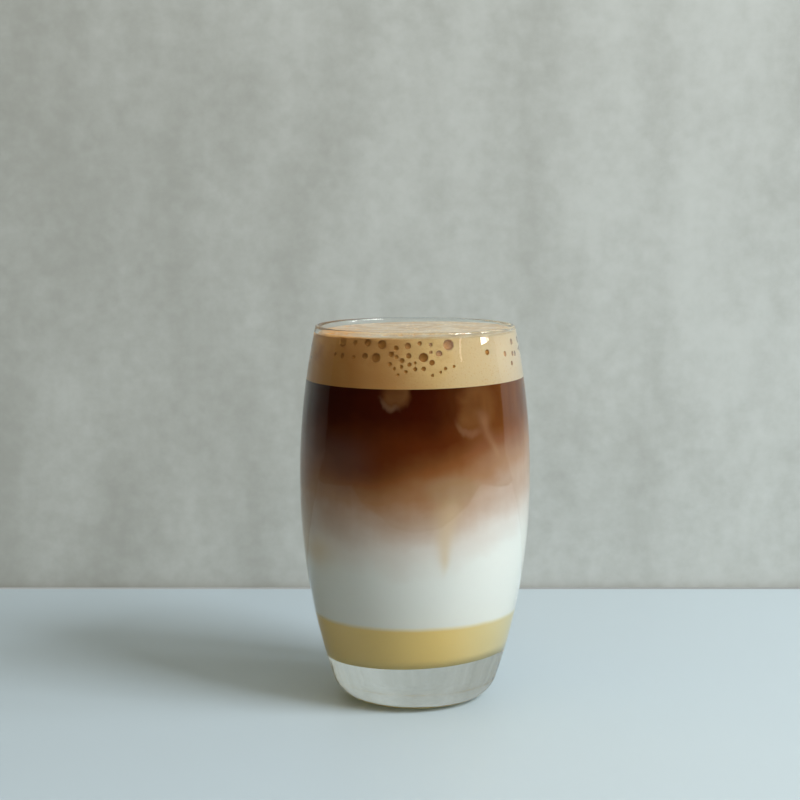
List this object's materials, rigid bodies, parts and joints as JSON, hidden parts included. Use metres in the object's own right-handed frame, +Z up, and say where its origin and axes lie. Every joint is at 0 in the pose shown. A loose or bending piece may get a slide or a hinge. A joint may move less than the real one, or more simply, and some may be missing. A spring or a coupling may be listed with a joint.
{
  "type": "iced latte in a glass tumbler",
  "caption": "Layered iced latte in a clear barrel-shaped tumbler: pale yellow sweet layer, white milk, dark coffee and a bubbly tan foam.",
  "frame": {"origin": "on the table, at the centre of the glass's foot", "axes": "+Z up along the glass's axis, towards the lip; -Y to the front, the side that the picture shows"},
  "size_m": [0.0738, 0.0738, 0.12],
  "materials": {
    "glass": "clear pressed glass, smooth, with a thick base",
    "condensed_milk": "thick opaque liquid, pale custard yellow",
    "milk": "opaque white liquid, streaked with coffee at its top",
    "coffee": "dark red-brown liquid that pales downwards into the milk",
    "foam": "tan milk foam with round bubbles against the glass"
  },
  "bodies": {
    "root": {"glass": "glass", "condensed_milk": "condensed_milk", "milk": "milk", "coffee": "coffee", "foam": "foam"}
  },
  "joints": []
}
